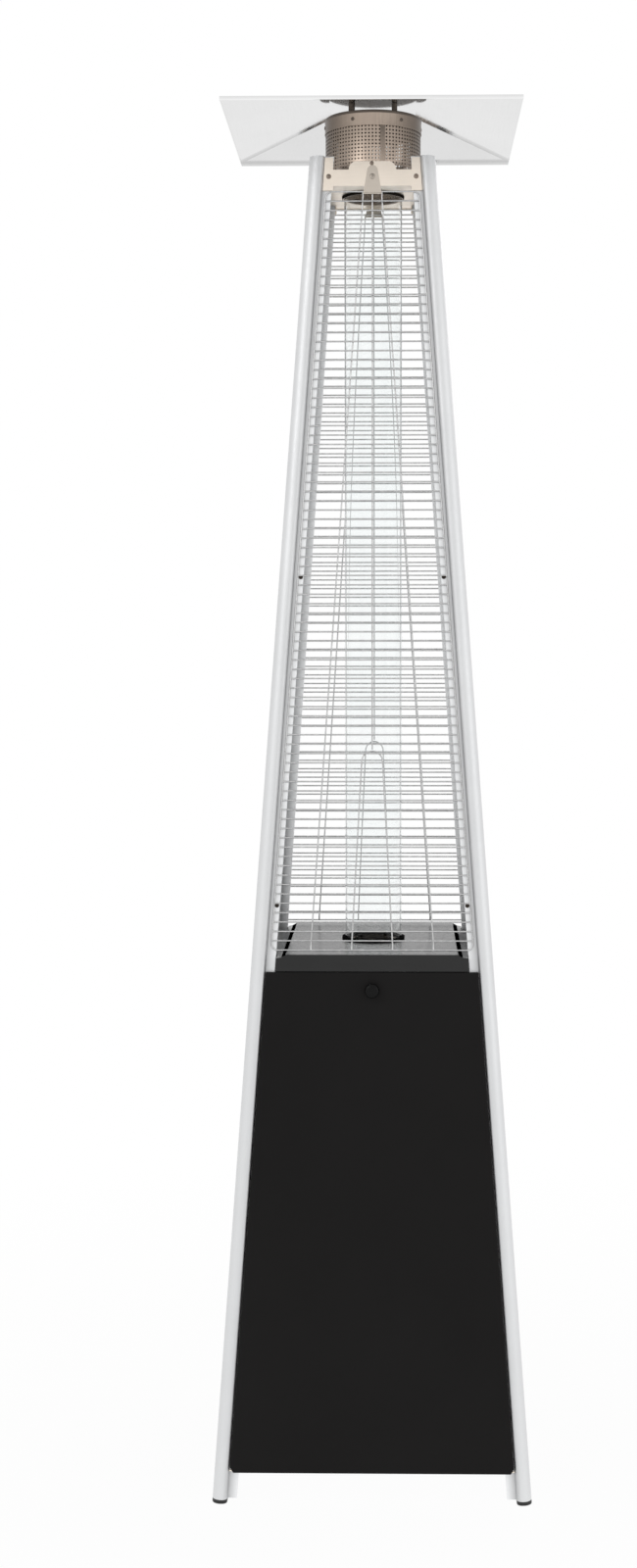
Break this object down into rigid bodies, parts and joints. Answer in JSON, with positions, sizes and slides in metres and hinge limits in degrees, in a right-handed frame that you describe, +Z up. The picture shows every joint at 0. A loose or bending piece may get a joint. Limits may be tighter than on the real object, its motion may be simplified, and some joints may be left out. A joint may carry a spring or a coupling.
{
  "type": "pyramid patio heater",
  "caption": "Gas patio heater: a glass flame tube behind wire guards in a leaning four-legged frame, over a black cabinet with a drop-down door, under a square reflector.",
  "frame": {"origin": "middle of the whole part's footprint, wheels included, on the floor under the foot caps", "axes": "+Z up the heater, -Y out of the front with the door and knob, +X to the right seen from the front"},
  "size_m": [0.51, 0.6026, 2.2441],
  "materials": {
    "anodised_aluminium": "satin anodised, silver",
    "black_panel_paint": "fine satin powder coat",
    "deck_gloss_paint": "gloss enamel",
    "black_moulding": "fine matt grain",
    "gloss_knob": "gloss moulding",
    "red_button": "gloss moulding",
    "galvanised_sheet": "zinc coated, satin",
    "stainless_steel": "satin",
    "heat_tinted_steel": "satin, browned by heat",
    "guard_wire": "bright plated wire",
    "mirror_sheet": "polished sheet",
    "tube_glass": "clear, polished",
    "brass_fittings": "turned",
    "white_ceramic": "glazed ceramic",
    "tube_gasket": "matt, heat-proof",
    "wheel_rubber": "matt"
  },
  "bodies": {
    "heater": {"leg_front_left": "anodised_aluminium", "leg_front_right": "anodised_aluminium", "leg_rear_left": "anodised_aluminium", "leg_rear_right": "anodised_aluminium", "rear_panel": "black_panel_paint", "left_panel": "black_panel_paint", "right_panel": "black_panel_paint", "wheel_carrier": "black_panel_paint", "deck": "deck_gloss_paint", "foot_cap_front_left": "black_moulding", "foot_cap_front_right": "black_moulding", "foot_cap_rear_left": "black_moulding", "foot_cap_rear_right": "black_moulding", "door_catch": "black_moulding", "igniter_body": "black_moulding", "tip_over_switch": "black_moulding", "cylinder_shelf": "galvanised_sheet", "control_box": "galvanised_sheet", "hinge_pin_left": "stainless_steel", "hinge_pin_right": "stainless_steel", "burner_cup": "stainless_steel", "pilot_burner": "stainless_steel", "thermocouple": "stainless_steel", "gas_pipe": "stainless_steel", "top_bracket": "stainless_steel", "guard_clip_front": "stainless_steel", "guard_clip_right": "stainless_steel", "guard_clip_rear": "stainless_steel", "guard_clip_left": "stainless_steel", "reflector_nut_1": "stainless_steel", "reflector_nut_2": "stainless_steel", "reflector_nut_3": "stainless_steel", "reflector_nut_4": "stainless_steel", "wheel_axle": "stainless_steel", "burner_hood": "heat_tinted_steel", "flame_screen": "heat_tinted_steel", "screen_lid": "heat_tinted_steel", "reflector_post_1": "heat_tinted_steel", "reflector_post_2": "heat_tinted_steel", "reflector_post_3": "heat_tinted_steel", "reflector_post_4": "heat_tinted_steel", "wire_guard_front": "guard_wire", "wire_guard_right": "guard_wire", "wire_guard_rear": "guard_wire", "wire_guard_left": "guard_wire", "reflector": "mirror_sheet", "glass_tube": "tube_glass", "gas_injector": "brass_fittings", "gas_valve": "brass_fittings", "gas_inlet": "brass_fittings", "igniter_electrode": "white_ceramic", "tube_seat": "tube_gasket", "tube_top_ring": "tube_gasket"},
    "door": {"front_panel": "black_panel_paint", "door_knob": "gloss_knob"},
    "valve_stem": {"valve_stem": "brass_fittings"},
    "control_knob": {"control_knob": "black_moulding"},
    "igniter_button": {"igniter_button": "red_button"},
    "wheel_left": {"wheel_left": "wheel_rubber"},
    "wheel_right": {"wheel_right": "wheel_rubber"}
  },
  "joints": [
    {"name": "door_hinge", "type": "hinge", "parent": "heater", "child": "door", "pos_m": [0, -0.29299, 0.05217], "axis": [1, 0, 0], "range_deg": [0, 92]},
    {"name": "valve_push", "type": "slide", "parent": "heater", "child": "valve_stem", "axis": [0, 1, 0], "range_m": [0, 0.003], "stiffness_N_per_m": 1500, "springref_m": -0.002},
    {"name": "knob_turn", "type": "hinge", "parent": "valve_stem", "child": "control_knob", "pos_m": [0, -0.20263, 0.8061], "axis": [0, -1, 0], "range_deg": [0, 210]},
    {"name": "igniter_press", "type": "slide", "parent": "heater", "child": "igniter_button", "axis": [0, 1, 0], "range_m": [0, 0.005], "stiffness_N_per_m": 600, "springref_m": -0.003},
    {"name": "left_wheel_spin", "type": "hinge", "parent": "heater", "child": "wheel_left", "pos_m": [-0.176, 0.25627, 0.048], "axis": [1, 0, 0], "continuous": true},
    {"name": "right_wheel_spin", "type": "hinge", "parent": "heater", "child": "wheel_right", "pos_m": [0.176, 0.25627, 0.048], "axis": [1, 0, 0], "continuous": true}
  ]
}
